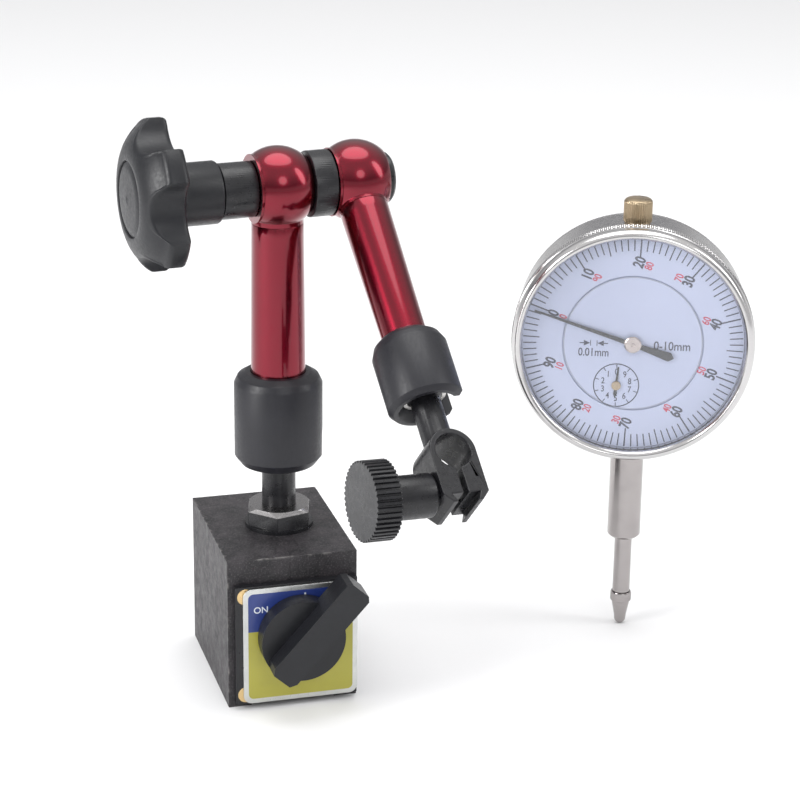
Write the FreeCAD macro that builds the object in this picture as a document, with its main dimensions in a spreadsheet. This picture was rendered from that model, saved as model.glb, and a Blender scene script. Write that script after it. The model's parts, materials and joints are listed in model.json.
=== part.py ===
import FreeCAD, Part
import math
import os
import re
import Sketcher

# A dial indicator beside the small magnetic base stand that it is used with.
# Millimetres. +Z is up, +X is to the right and the front faces -Y. The origin is
# on the floor, under the middle of the base.

Vector = FreeCAD.Vector
Placement = FreeCAD.Placement
Rotation = FreeCAD.Rotation

document = FreeCAD.newDocument("indicator_stand")

SIZES = {
    # magnetic base
    "base_width": 30, "base_depth": 40, "base_height": 36,
    "relief_half": 9.8, "relief_depth": 2.6, "spacer_width": 3,
    "rotor_x": 1, "rotor_z": 18, "bore_radius": 9.6, "journal_radius": 3,
    "plate_left": -13.6, "plate_right": 14.6, "plate_bottom": 1.5, "plate_top": 30.3,
    "plate_thick": 2, "label_left": -12, "label_bottom": 1.7, "label_top": 29.9,
    "label_thick": 0.6, "label_round": 2, "screw_inset": 2.3, "screw_radius": 1,
    "switch_radius": 9.7, "switch_thick": 4.4, "switch_gap": 0.2,
    "bar_width": 6.8, "bar_reach": 17.8, "bar_tail": 9.4, "bar_rise": 4.8, "bar_angle": 48,
    # post and lower ball joint
    "post_x": 1.5, "post_turn": 6, "stud_radius": 3, "stud_end": 28.4, "nut_flats": 13.8,
    "nut_top": 41.3, "flange_radius": 7.9, "flange_thick": 0.9, "neck_radius": 3.9,
    "ball_z": 57, "ball_radius": 5.5, "cup_wall": 0.95, "fit_gap": 0.05, "socket_gap": 0.1,
    "sleeve_radius": 10.1, "sleeve_bottom": 51.5, "sleeve_top": 73.5, "slot_radius": 4.8,
    "tube_foot": 6.25, "tube_head": 5.85, "rod_radius": 2.6,
    # clamping bolt through the two round housings
    "bolt_z": 116.5, "bolt_radius": 3, "housing_radius": 9.2, "housing_gap": 18.3,
    "housing_bore": 5.2, "spigot_radius": 5.1, "housing_drop": 7.5, "lip_radius": 7.7,
    "bush_radius": 6.25, "bush_end": -13.9, "collar_radius": 7.45, "cap_radius": 5.7,
    "star_radius": 17.3, "star_front": -34.2, "star_back": -24.6, "hub_radius": 7,
    "hub_end": -14.1, "notch_radius": 8.4, "notch_reach": 21.8, "star_turn": 19,
    # upper arm, measured down its own axis from the bolt
    "arm_tilt": 48.8, "arm_sleeve_top": -42.1, "arm_sleeve_end": -59.5, "arm_ball": -54.5,
    "arm_ball_radius": 4.7, "arm_cup_wall": 0.75, "arm_sleeve_radius": 8.4,
    "arm_slot_radius": 4, "arm_tube_head": 5.5, "arm_tube_foot": 5, "arm_rod_radius": 2.3,
    # indicator clamp
    "clamp_neck": 3.3, "clamp_centre": -72.8, "clamp_half": 5.3, "clamp_depth": 10.8,
    "clamp_bore": 4, "clamp_end": -84.8, "clamp_screw_z": -80.2, "clamp_screw_radius": 1.5,
    "clamp_sleeve_radius": 4.75, "clamp_sleeve_end": -15.7, "clamp_knob_end": -21.5,
    "clamp_knob_radius": 8.55, "clamp_turn": 5,
    # dial indicator
    "dial_x": 88, "dial_y": 2, "dial_yaw": 20, "dial_z": 74.7,
    "case_radius": 27.6, "case_inner": 25, "case_back": -7.5, "case_front": 4.4,
    "rim_radius": 26.2, "rim_front": 6.2, "web_back": 4.6, "web_front": 5.4,
    "bezel_radius": 28.5, "bezel_front": 10.6, "crystal_radius": 26.6, "crystal_back": 8.2,
    "ring_inner": 16.6, "ring_outer": 25.9, "face_back": 6.5, "face_front": 6.9,
    "stem_radius": 4, "stem_end": 23.4, "spindle_radius": 2.1, "spindle_end": 8.6,
    "spindle_top": 96, "rack_pitch": 0.625, "pinion_radius": 1.5915, "rack_line": 1.9,
    "wheel_radius": 10, "centre_radius": 1, "arbor_radius": 0.5,
}

sheet = document.addObject("Spreadsheet::Sheet", "sizes")
for row, (alias, number) in enumerate(SIZES.items(), start=1):
    sheet.set(f"A{row}", alias)
    sheet.set(f"B{row}", str(number))
    sheet.setAlias(f"B{row}", alias)
document.recompute()


def size(formula):
    """The number that a formula of the sheet's sizes gives."""
    return float(sheet.evalExpression(str(formula)))


def bound(formula):
    """The formula as another object's expression, naming the sheet before each size."""
    return re.sub(r"[a-z]+(_[a-z0-9]+)+", lambda word: "sizes." + word.group(), str(formula))


def spot(x, y, z):
    return Vector(size(x), size(y), size(z))


UPRIGHT = Rotation()
ALONG_X = Rotation(Vector(0, 1, 0), 90)
ALONG_Y = Rotation(Vector(1, 0, 0), -90)
HERE = Placement()
POST = Placement(spot("post_x", 0, 0), UPRIGHT)
# The two arms stand a little turned on the post, and the clamp a little on its arm.
COLUMN = POST.multiply(Placement(Vector(), Rotation(Vector(0, 0, 1), size("post_turn"))))
BOLT = COLUMN.multiply(Placement(spot(0, 0, "bolt_z"), ALONG_X))
ARM = COLUMN.multiply(Placement(spot("housing_gap", 0, "bolt_z"),
                                Rotation(Vector(1, 0, 0), -size("arm_tilt"))))
CLAMP = ARM.multiply(Placement(Vector(), Rotation(Vector(0, 0, 1), size("clamp_turn"))))
SWITCH = Placement(spot("rotor_x", 0, "rotor_z"), Rotation(Vector(1, 0, 0), 90))
INDICATOR = Placement(spot("dial_x", "dial_y", 0), Rotation(Vector(0, 0, 1), -size("dial_yaw")))
# On the dial X is to the right, Y is up and Z comes out of the dial.
DIAL = INDICATOR.multiply(Placement(spot(0, 0, "dial_z"), Rotation(Vector(1, 0, 0), 90)))

nodes = {}


def node(label, piece, frame=HERE):
    """Names a finished sub-part and moves it from its own frame to its place."""
    piece.Label = label
    piece.Placement = frame.multiply(piece.Placement)
    nodes[label] = piece
    return piece


def outline(sketch, corners):
    """A closed outline with every corner held by its two formulas."""
    spots = [Vector(size(x), size(y), 0) for x, y in corners]
    count = len(spots)
    sketch.addGeometry([Part.LineSegment(spots[n], spots[(n + 1) % count]) for n in range(count)])
    sketch.addConstraint([Sketcher.Constraint("Coincident", n, 2, (n + 1) % count, 1)
                          for n in range(count)])
    for n, formulas in enumerate(corners):
        for kind, formula in zip(("DistanceX", "DistanceY"), formulas):
            index = sketch.addConstraint(Sketcher.Constraint(kind, -1, 1, n, 1, size(formula)))
            sketch.setExpression(f"Constraints[{index}]", bound(formula))


def sketched(name, corners, plane):
    """A new body that holds a sketch of the outline on one of its origin planes."""
    body = document.addObject("PartDesign::Body", name)
    sketch = body.newObject("Sketcher::SketchObject", name + "_sketch")
    planes = {feature.Role: feature for feature in body.Origin.OriginFeatures}
    sketch.AttachmentSupport = [(planes[plane], "")]
    sketch.MapMode = "FlatFace"
    outline(sketch, corners)
    return body, sketch


def turned(name, corners, at=(0, 0, 0), turn=UPRIGHT):
    """A body turned about its Z axis, from corners of radius and height."""
    body, sketch = sketched(name, corners, "XZ_Plane")
    revolution = body.newObject("PartDesign::Revolution", name + "_turned")
    revolution.Profile = sketch
    revolution.ReferenceAxis = (sketch, ["V_Axis"])
    revolution.Angle = 360
    body.Placement = Placement(spot(*at), turn)
    return body


def padded(name, corners, length, at=(0, 0, 0), turn=UPRIGHT, plane="XY_Plane"):
    """A body padded from an outline: up from XY, or towards -Y from XZ."""
    body, sketch = sketched(name, corners, plane)
    pad = body.newObject("PartDesign::Pad", name + "_padded")
    pad.Profile = sketch
    pad.setExpression("Length", bound(length))
    body.Placement = Placement(spot(*at), turn)
    return body


def primitive(kind, name, sizes, at, turn):
    piece = document.addObject("Part::" + kind, name)
    for quality, formula in sizes.items():
        piece.setExpression(quality, bound(formula))
    piece.Placement = Placement(spot(*at), turn)
    return piece


def cylinder(name, radius, height, at=(0, 0, 0), turn=UPRIGHT):
    return primitive("Cylinder", name, {"Radius": radius, "Height": height}, at, turn)


def ball(name, radius, at=(0, 0, 0)):
    return primitive("Sphere", name, {"Radius": radius}, at, UPRIGHT)


def block(name, length, width, height, at=(0, 0, 0), turn=UPRIGHT):
    sizes = {"Length": length, "Width": width, "Height": height}
    return primitive("Box", name, sizes, at, turn)


def joined(name, pieces):
    union = document.addObject("Part::MultiFuse", name)
    union.Shapes = pieces
    union.Refine = True
    return union


def cut(name, base, tools):
    result = document.addObject("Part::Cut", name)
    result.Base = base
    result.Tool = tools[0] if len(tools) == 1 else joined(name + "_tools", tools)
    return result


def shared(name, one, other):
    result = document.addObject("Part::Common", name)
    result.Base = one
    result.Tool = other
    return result


def group(name, pieces):
    """Identical pieces kept as separate solids of one sub-part."""
    compound = document.addObject("Part::Compound", name)
    compound.Links = pieces
    return compound


def rounded(name, piece, radius, direction):
    """A block with its edges along one direction rounded."""
    document.recompute()
    fillet = document.addObject("Part::Fillet", name)
    fillet.Base = piece
    edges = [n for n, edge in enumerate(piece.Shape.Edges, start=1)
             if abs(edge.tangentAt(edge.FirstParameter).dot(direction)) > 0.999]
    fillet.Edges = [(n, size(radius), size(radius)) for n in edges]
    return fillet


def made(name, shape):
    """A sub-part whose shape no feature makes, such as a coil or a gear."""
    feature = document.addObject("Part::Feature", name)
    feature.Shape = shape
    return feature


def polar(radius, degrees):
    angle = math.radians(degrees)
    return radius * math.cos(angle), radius * math.sin(angle)


def toothed(teeth, tip, root, width, thick, at, first=0, bore=0):
    """A toothed disc. width is a tooth's share of the pitch, first is one tooth's angle."""
    pitch = 360 / teeth
    corners = []
    for n in range(teeth):
        middle = first + n * pitch
        for radius, share in ((root, -0.5), (tip, -0.3), (tip, 0.3), (root, 0.5)):
            corners.append(Vector(*polar(radius, middle + share * width * pitch), at))
    disc = Part.Face(Part.makePolygon(corners + corners[:1])).extrude(Vector(0, 0, thick))
    if bore:
        disc = disc.cut(Part.makeCylinder(bore, thick, Vector(0, 0, at)))
    return disc


def coil(radius, wire, pitch, height):
    """A round wire wound about Z, on a smooth curve through twelve spots of each turn."""
    steps = 12
    count = round(height / pitch * steps)
    spots = [Vector(*polar(radius, 360 * n / steps), pitch * n / steps) for n in range(count + 1)]
    path = Part.BSplineCurve()
    path.interpolate(spots)
    start = path.tangent(path.FirstParameter)[0]
    section = Part.Wire(Part.makeCircle(wire, spots[0], start))
    return Part.Wire(path.toShape()).makePipeShell([section], True, True)


# ---------------------------------------------------------------- magnetic base

PLATE_FACE = "-base_depth / 2 - plate_thick"
SCREW_PLACES = [(x, z) for x in ("plate_left + screw_inset", "plate_right - screw_inset")
                for z in ("plate_bottom + screw_inset", "plate_top - screw_inset")]


def plate_screw(name, place):
    """A countersunk screw of the front plate, its flat head towards the front."""
    x, z = place
    corners = [(0, 0), (1.9, 0), ("screw_radius", 0.9), ("screw_radius", 6.5), (0, 6.5)]
    return turned(name, corners, (x, PLATE_FACE, z), ALONG_Y)


def magnetic_base():
    """Two iron poles either side of non-magnetic spacers, bored for a turning magnet."""
    middle = "rotor_x"
    left = "rotor_x - spacer_width / 2"
    right = "rotor_x + spacer_width / 2"
    low = "relief_depth"
    back = (0, "base_depth / 2", 0)

    def bored(name, corners, taps=()):
        blank = padded(name + "_blank", corners, "base_depth", back, plane="XZ_Plane")
        bore = cylinder(name + "_bore", "bore_radius", "base_depth",
                        (middle, "-base_depth / 2", "rotor_z"), ALONG_Y)
        hole = cylinder(name + "_stud_hole", "stud_radius", "base_height - stud_end",
                        ("post_x", 0, "stud_end"))
        node(name, cut(name, blank, [bore, hole, *taps]))

    def pole(name, side, inner, places):
        taps = [plate_screw(f"{name}_tap_{n}", place) for n, place in enumerate(places)]
        bored(name, [(f"{side} * base_width / 2", 0), (f"{side} * relief_half", 0),
                     (f"{side} * (relief_half - relief_depth)", low), (inner, low),
                     (inner, "base_height"), (f"{side} * base_width / 2", "base_height")], taps)

    pole("left_pole", -1, left, SCREW_PLACES[:2])
    pole("right_pole", 1, right, SCREW_PLACES[2:])
    bored("upper_spacer", [(left, "rotor_z"), (right, "rotor_z"),
                           (right, "base_height"), (left, "base_height")])
    bored("lower_spacer", [(left, low), (right, low), (right, "rotor_z"), (left, "rotor_z")])
    node("rear_cover", cut("rear_cover",
                           cylinder("rear_disc", "bore_radius - fit_gap", 2.5,
                                    ("rotor_x", "base_depth / 2 - 2.5", "rotor_z"), ALONG_Y),
                           [cylinder("rear_bearing", "journal_radius + fit_gap", 1.6,
                                     ("rotor_x", "base_depth / 2 - 2.5", "rotor_z"), ALONG_Y)]))


def front_of_base():
    """The black plate that holds the rotor in, its four screws and the printed label."""
    face = PLATE_FACE
    plate = block("plate_blank", "plate_right - plate_left", "plate_thick",
                  "plate_top - plate_bottom", ("plate_left", face, "plate_bottom"))
    bearing = cylinder("plate_bearing", "journal_radius + fit_gap", "plate_thick",
                       ("rotor_x", face, "rotor_z"), ALONG_Y)
    screws = [plate_screw(f"screw_{n}", place) for n, place in enumerate(SCREW_PLACES)]
    sinks = [plate_screw(f"sink_{n}", place) for n, place in enumerate(SCREW_PLACES)]
    node("plate_screws", group("plate_screws", screws))
    node("front_plate", cut("front_plate", plate, [bearing] + sinks))
    label = rounded("label_blank",
                    block("label_block", "plate_right - label_left", "label_thick",
                          "label_top - label_bottom",
                          ("label_left", face + " - label_thick", "label_bottom")),
                    "label_round", Vector(0, 1, 0))
    hole = cylinder("label_hole", "journal_radius + 0.5", "label_thick",
                    ("rotor_x", face + " - label_thick", "rotor_z"), ALONG_Y)
    node("label_plate", cut("label_plate", label, [hole]))


def switch():
    """The turning magnet and the knob that turns it. Z comes out of the front here."""
    half = "base_depth / 2"
    seat = "base_depth / 2 + plate_thick + label_thick + switch_gap"
    pin_at = (-9, 0, seat + " + 2.2")
    core = turned("core_blank", [
        (0, f"0.9 - {half}"), ("journal_radius", f"0.9 - {half}"),
        ("journal_radius", f"2.7 - {half}"), ("bore_radius - 0.3", f"2.7 - {half}"),
        ("bore_radius - 0.3", f"{half} - 0.3"), ("journal_radius", f"{half} - 0.3"),
        ("journal_radius", f"{seat} + 6.8"), (0, f"{seat} + 6.8")])
    slot = ("base_depth - 6", ("-bore_radius + 2", -4, f"3.4 - {half}"))
    pocket = block("magnet_pocket", "2 * bore_radius - 4", 8, slot[0], slot[1])
    cross = cylinder("core_pin_hole", 0.75, 18, pin_at, ALONG_X)
    node("rotor_core", cut("rotor_core", core, [pocket, cross]), SWITCH)
    node("rotor_magnet", block("magnet", "2 * bore_radius - 4", 8, slot[0], slot[1]), SWITCH)

    disc = cylinder("switch_disc", "switch_radius", "switch_thick", (0, 0, seat))
    bar = padded("switch_bar", [
        ("-bar_tail", "-bar_width / 2 + 1"), ("-bar_tail + 1.5", "-bar_width / 2"),
        ("bar_reach - 1", "-bar_width / 2"), ("bar_reach", "-bar_width / 2 + 1"),
        ("bar_reach", "bar_width / 2 - 1"), ("bar_reach - 1", "bar_width / 2"),
        ("-bar_tail + 1.5", "bar_width / 2"), ("-bar_tail", "bar_width / 2 - 1")],
        "bar_rise + 2.2", (0, 0, seat + " + switch_thick - 2.2"),
        Rotation(Vector(0, 0, 1), size("bar_angle")))
    knob = joined("switch_blank", [disc, bar])
    shaft = cylinder("switch_shaft_hole", "journal_radius", 6.8, (0, 0, seat))
    hole = cylinder("switch_pin_hole", 0.75, 18, pin_at, ALONG_X)
    node("switch_knob", cut("switch_knob", knob, [shaft, hole]), SWITCH)
    node("knob_pin", cylinder("knob_pin", 0.75, 18, pin_at, ALONG_X), SWITCH)


def post():
    """The ball stud screwed into the base's top, and the nut that locks it."""
    neck = turned("stud_neck", [(0, "stud_end"), ("stud_radius", "stud_end"),
                                ("stud_radius", "nut_top"), ("neck_radius", "nut_top"),
                                ("neck_radius", "ball_z"), (0, "ball_z")])
    sphere = ball("stud_ball", "ball_radius", (0, 0, "ball_z"))
    node("lower_ball_stud", joined("lower_ball_stud", [neck, sphere]), POST)

    hexagon = document.addObject("Part::Prism", "nut_hexagon")
    hexagon.Polygon = 6
    hexagon.setExpression("Circumradius", bound("nut_flats / sqrt(3)"))
    hexagon.setExpression("Height", bound("nut_top - base_height"))
    hexagon.Placement = Placement(spot(0, 0, "base_height"), Rotation(Vector(0, 0, 1), 15))
    crown = turned("nut_crown", [(0, "base_height"), ("flange_radius", "base_height"),
                                 ("flange_radius", "nut_top - 1.1"),
                                 ("nut_flats / 2 + 0.1", "nut_top"), (0, "nut_top")])
    flange = cylinder("nut_flange", "flange_radius", "flange_thick", (0, 0, "base_height"))
    blank = joined("nut_blank", [shared("nut_crowned", hexagon, crown), flange])
    bore = cylinder("nut_bore", "stud_radius", "nut_top - base_height", (0, 0, "base_height"))
    node("lock_nut", cut("lock_nut", blank, [bore]), POST)


# ------------------------------------------------------------------ ball sockets

def socket(name, frame, centre, radius, wall, mouth, rod, rod_end, foot_top):
    """The cup that grips a ball, and the rod that presses on it. mouth is how far below
    the ball's centre the cup ends."""
    outer = ball(name + "_cup_outer", f"{radius} + {wall} + fit_gap", (0, 0, centre))
    inner = ball(name + "_cup_inner", f"{radius} + fit_gap", (0, 0, centre))
    open_end = cylinder(name + "_cup_mouth", f"{radius} + 3", 8, (0, 0, f"{centre} - {mouth} - 8"))
    node(name + "_ball_cup", cut(name + "_ball_cup", outer, [inner, open_end]), frame)

    foot = f"{radius} + {wall} - 0.7"
    plunger = turned(name + "_rod_blank", [
        (0, f"{centre} + 2"), (foot, f"{centre} + 2"), (foot, foot_top), (rod, foot_top),
        (rod, rod_end), (0, rod_end)])
    seat = ball(name + "_rod_seat", f"{radius} + {wall} + fit_gap + socket_gap", (0, 0, centre))
    node(name + "_push_rod", cut(name + "_push_rod", plunger, [seat]), frame)


def sleeve(name, frame, corners, centre, cavity, slot, floor):
    """A black sleeve: a spherical seat, a mouth and one slot on its +X side that lets
    the ball's neck swing out sideways."""
    blank = turned(name + "_blank", corners)
    hollow = ball(name + "_hollow", cavity, (0, 0, centre))
    swing = cylinder(name + "_slot_top", slot, 14, (3, 0, centre), ALONG_X)
    gap = block(name + "_slot", 14, f"2 * {slot}", f"{centre} - ({floor})",
                (3, f"-{slot}", floor))
    node(name, cut(name, blank, [hollow, swing, gap]), frame)


def housing(name, frame, low, high, drop):
    """A round aluminium eye on the clamping bolt, open below for its tube."""
    sphere = ball(name + "_sphere", "housing_radius")
    slab = cylinder(name + "_slab", "housing_radius + 1", f"{high} - ({low})",
                    (low, 0, 0), ALONG_X)
    lip = turned(name + "_lip", [
        (0, low), ("lip_radius", low), ("lip_radius", f"{low} + 0.5"),
        ("housing_bore + 1", f"{low} + 1.8"), (0, f"{low} + 1.8")], turn=ALONG_X)
    neck = cylinder(name + "_neck", drop, "housing_drop + 0.6", (0, 0, "-housing_drop - 0.6"))
    eye = joined(name + "_eye", [shared(name + "_round", sphere, slab), lip, neck])
    bore = cylinder(name + "_bore", "housing_bore", 30, (-15, 0, 0), ALONG_X)
    seat = cylinder(name + "_seat", f"{drop} - 1.1", 12, (0, 0, -12))
    node(name, cut(name, eye, [bore, seat]), frame)


def tube(name, frame, head, foot, head_z, foot_z, rod, spigot, grip):
    """A red tapered tube. Its head is pressed into the housing, and its foot sits in the
    sleeve to the depth of grip."""
    bore = f"{rod} + 0.4"
    tip = f"{head_z} + 2.6"
    node(name, turned(name, [
        (bore, f"{foot_z} - {grip}"), (spigot, f"{foot_z} - {grip}"), (spigot, f"{foot_z} - 1.5"),
        (foot, f"{foot_z} - 1.5"), (head, head_z), (f"{head} - 1.1 - fit_gap", head_z),
        (f"{head} - 1.1 - fit_gap", tip), (bore, tip)]), frame)


def lower_arm():
    """The upright arm on the lower ball."""
    head_z = "bolt_z - housing_drop - 0.6"
    socket("lower", COLUMN, "ball_z", "ball_radius", "cup_wall", 3.2, "rod_radius",
           "bolt_z - housing_bore - 0.1", "sleeve_top - 7.6")
    cavity = "ball_radius + cup_wall + fit_gap + socket_gap"
    sleeve("lower_sleeve", COLUMN, [
        (7.5, "sleeve_bottom"), (8.6, "sleeve_bottom"), ("sleeve_radius", "sleeve_bottom + 2"),
        ("sleeve_radius", "sleeve_top - 2.8"), ("sleeve_radius - 0.8", "sleeve_top - 1.1"),
        (7.5, "sleeve_top"), ("tube_foot + fit_gap", "sleeve_top"),
        ("tube_foot + fit_gap", "sleeve_top - 1.5"), (cavity, "sleeve_top - 1.5"),
        (cavity, "ball_z"), (5.75, "ball_z"), (5.75, "sleeve_bottom + 2.3")],
        "ball_z", cavity, "slot_radius", "sleeve_bottom - 1")
    tube("lower_tube", COLUMN, "tube_head", "tube_foot", head_z, "sleeve_top",
         "rod_radius", cavity + " - fit_gap", 7)
    eye = COLUMN.multiply(Placement(spot(0, 0, "bolt_z"), UPRIGHT))
    housing("lower_housing", eye, -6, 6.7, "tube_head")


def clamping_bolt():
    """Everything on the bolt that locks the elbow and both balls. Z runs to the right."""
    gap = "housing_gap"
    node("left_bush", turned("left_bush", [
        ("bolt_radius + fit_gap", "bush_end"), ("bush_radius", "bush_end"), ("bush_radius", -6.1),
        ("spigot_radius", -6.1), ("spigot_radius", -3.1), ("bolt_radius + fit_gap", -3.1)]), BOLT)
    node("centre_collar", turned("centre_collar", [
        (4.2, 4.6), ("spigot_radius", 4.6), ("spigot_radius", 6.8), ("collar_radius", 6.8),
        ("collar_radius", 12), ("spigot_radius", 12), ("spigot_radius", 14), (4.2, 14)]), BOLT)

    def cone(name, at, turn):
        """A cone whose slope pushes a rod outwards as the bolt is drawn through."""
        return turned(name, [("bolt_radius + fit_gap", -2.8), ("spigot_radius - 1.2", -2.8),
                             ("spigot_radius", -0.4), ("spigot_radius", 1.2),
                             ("bolt_radius + fit_gap", 1.2)], at, turn)

    node("wedge_cones", group("wedge_cones", [
        cone("lower_cone", (0, 0, 2.2), UPRIGHT),
        cone("upper_cone", (0, 0, gap + " - 2.2"), ALONG_X.multiply(ALONG_X))]), BOLT)
    node("bolt_spring", made("bolt_spring", coil(3.65, 0.3, 1.6, 9.2)),
         BOLT.multiply(Placement(Vector(0, 0, 4.4), UPRIGHT)))
    end = gap + " + 6.3"
    node("clamp_bolt", turned("clamp_bolt", [
        (0, "star_front + 5"), ("bolt_radius", "star_front + 5"), ("bolt_radius", gap + " + 2.4"),
        ("spigot_radius", gap + " + 2.4"), ("spigot_radius", end), ("cap_radius", end),
        ("cap_radius", end + " + 1.1"), ("cap_radius - 0.6", end + " + 1.7"),
        (0, end + " + 1.9")]), BOLT)


def star_knob():
    """A five-lobed hand knob with a brass insert and a round cap in its face."""
    dome = turned("star_dome", [
        (0, "star_front"), (9.3, "star_front + 0.1"), (11.6, "star_front + 0.6"),
        (13.6, "star_front + 1.5"), (15.2, "star_front + 2.6"), (16.4, "star_front + 3.9"),
        (17, "star_front + 5"), ("star_radius", "star_front + 6.2"),
        ("star_radius", "star_back - 1.2"), ("star_radius - 0.4", "star_back - 0.4"),
        ("star_radius - 1.2", "star_back"),
        (0, "star_back")])
    notches = []
    for n in range(5):
        x, y = polar(size("notch_reach"), size("180 + 36 - star_turn") + 72 * n)
        notches.append(cylinder(f"star_notch_{n}", "notch_radius", 14, (x, y, "star_front - 1")))
    hub = turned("star_hub", [
        (0, "star_back - 1"), ("hub_radius + 1.6", "star_back - 1"),
        ("hub_radius + 1.6", "star_back"), ("hub_radius", "star_back + 1.6"),
        ("hub_radius", "hub_end - 0.6"), ("hub_radius - 0.6", "hub_end"), (0, "hub_end")])
    blank = joined("star_blank", [cut("star_lobes", dome, notches), hub])
    bore = cylinder("star_bore", 4.5, 26, (0, 0, "star_front + 5"))
    recess = cylinder("star_recess", 8.5, 2, (0, 0, "star_front - 0.6"))
    node("star_knob", cut("star_knob", blank, [bore, recess]), BOLT)
    node("knob_insert", turned("knob_insert", [
        ("bolt_radius + fit_gap", "star_front + 5"), (4.5, "star_front + 5"),
        (4.5, "hub_end"), ("bolt_radius + fit_gap", "hub_end")]), BOLT)
    node("knob_cap", turned("knob_cap", [
        (0, "star_front - 0.3"), (7, "star_front"), (8.4, "star_front + 0.6"),
        (8.4, "star_front + 1.4"), (0, "star_front + 1.4")]), BOLT)


# --------------------------------------------------------------------- upper arm

def upper_arm():
    """The thinner arm that hangs forward from the right-hand housing."""
    head_z = "-housing_drop - 0.6"
    socket("upper", ARM, "arm_ball", "arm_ball_radius", "arm_cup_wall", 2.7,
           "arm_rod_radius", "-housing_bore - 0.1", "arm_sleeve_top - 5.1")
    cavity = "arm_ball_radius + arm_cup_wall + fit_gap + socket_gap"
    sleeve("upper_sleeve", ARM, [
        (6.4, "arm_sleeve_end"), (7.5, "arm_sleeve_end"),
        ("arm_sleeve_radius", "arm_sleeve_end + 1.2"), ("arm_sleeve_radius", "arm_sleeve_top - 3.4"),
        ("arm_sleeve_radius - 0.9", "arm_sleeve_top - 1.3"), (5.9, "arm_sleeve_top"),
        ("arm_tube_foot + fit_gap", "arm_sleeve_top"),
        ("arm_tube_foot + fit_gap", "arm_sleeve_top - 1.5"), (cavity, "arm_sleeve_top - 1.5"),
        (cavity, "arm_ball"), (4.9, "arm_ball"), (4.9, "arm_sleeve_end + 2.2")],
        "arm_ball", cavity, "arm_slot_radius", "arm_sleeve_end - 1")
    tube("upper_tube", ARM, "arm_tube_head", "arm_tube_foot", head_z, "arm_sleeve_top",
         "arm_rod_radius", cavity + " - fit_gap", 4.4)
    housing("upper_housing", ARM, -6.1, 6.2, "arm_tube_head")


def indicator_clamp():
    """The split block that grips an 8 mm stem, with its ball, and a dovetail below."""
    depth = "clamp_depth"
    back = (0, "clamp_depth / 2", 0)
    sphere = ball("clamp_ball", "arm_ball_radius", (0, 0, "arm_ball"))
    neck = cylinder("clamp_neck", "clamp_neck", "arm_ball - clamp_centre", (0, 0, "clamp_centre"))
    head = cylinder("clamp_head", "clamp_half", depth,
                    (0, "-clamp_depth / 2", "clamp_centre"), ALONG_Y)
    cheeks = padded("clamp_cheeks", [
        ("-clamp_half", "clamp_centre"), ("clamp_half", "clamp_centre"),
        ("clamp_half", "clamp_end + 1.9"), ("clamp_half - 1.9", "clamp_end"),
        ("-clamp_half + 1.9", "clamp_end"), ("-clamp_half", "clamp_end + 1.9")],
        depth, back, plane="XZ_Plane")
    blank = joined("clamp_blank", [sphere, neck, head, cheeks])
    bore = cylinder("clamp_stem_hole", "clamp_bore", depth,
                    (0, "-clamp_depth / 2", "clamp_centre"), ALONG_Y)
    slit = block("clamp_slit", 1.2, depth, "clamp_centre - clamp_end",
                 (-0.6, "-clamp_depth / 2", "clamp_end"))
    dovetail = padded("clamp_dovetail", [
        (-2.3, "clamp_end - 0.1"), (2.3, "clamp_end - 0.1"),
        (3.2, "clamp_end + 1.9"), (-3.2, "clamp_end + 1.9")], depth, back, plane="XZ_Plane")
    hole = cylinder("clamp_screw_hole", "clamp_screw_radius + fit_gap", 20,
                    (-10, 0, "clamp_screw_z"), ALONG_X)
    node("clamp_body", cut("clamp_body", blank, [bore, slit, dovetail, hole]), CLAMP)

    screw_frame = CLAMP.multiply(Placement(spot(0, 0, "clamp_screw_z"), ALONG_X))
    node("clamp_sleeve", turned("clamp_sleeve", [
        ("clamp_screw_radius + fit_gap", "clamp_sleeve_end"),
        ("clamp_sleeve_radius - 0.3", "clamp_sleeve_end"),
        ("clamp_sleeve_radius", "clamp_sleeve_end + 0.3"),
        ("clamp_sleeve_radius", "-clamp_half - 0.7"),
        ("clamp_sleeve_radius - 0.5", "-clamp_half - 0.1"),
        ("clamp_screw_radius + fit_gap", "-clamp_half - 0.1")]), screw_frame)
    node("clamp_screw", turned("clamp_screw", [
        (0, "clamp_knob_end + 1"), ("clamp_screw_radius", "clamp_knob_end + 1"),
        ("clamp_screw_radius", "clamp_half - 0.5"), (1, "clamp_half"), (0, "clamp_half")]),
        screw_frame)
    rim = made("knob_rim", toothed(44, size("clamp_knob_radius"), size("clamp_knob_radius - 0.5"),
                                   0.75, size("clamp_sleeve_end - clamp_knob_end - 0.1"),
                                   size("clamp_knob_end")))
    socket_hole = cylinder("knob_screw_hole", "clamp_screw_radius", 8,
                           (0, 0, "clamp_knob_end + 1"))
    node("clamp_knob", cut("clamp_knob", rim, [socket_hole]), screw_frame)


# --------------------------------------------------------------- indicator's case

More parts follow.
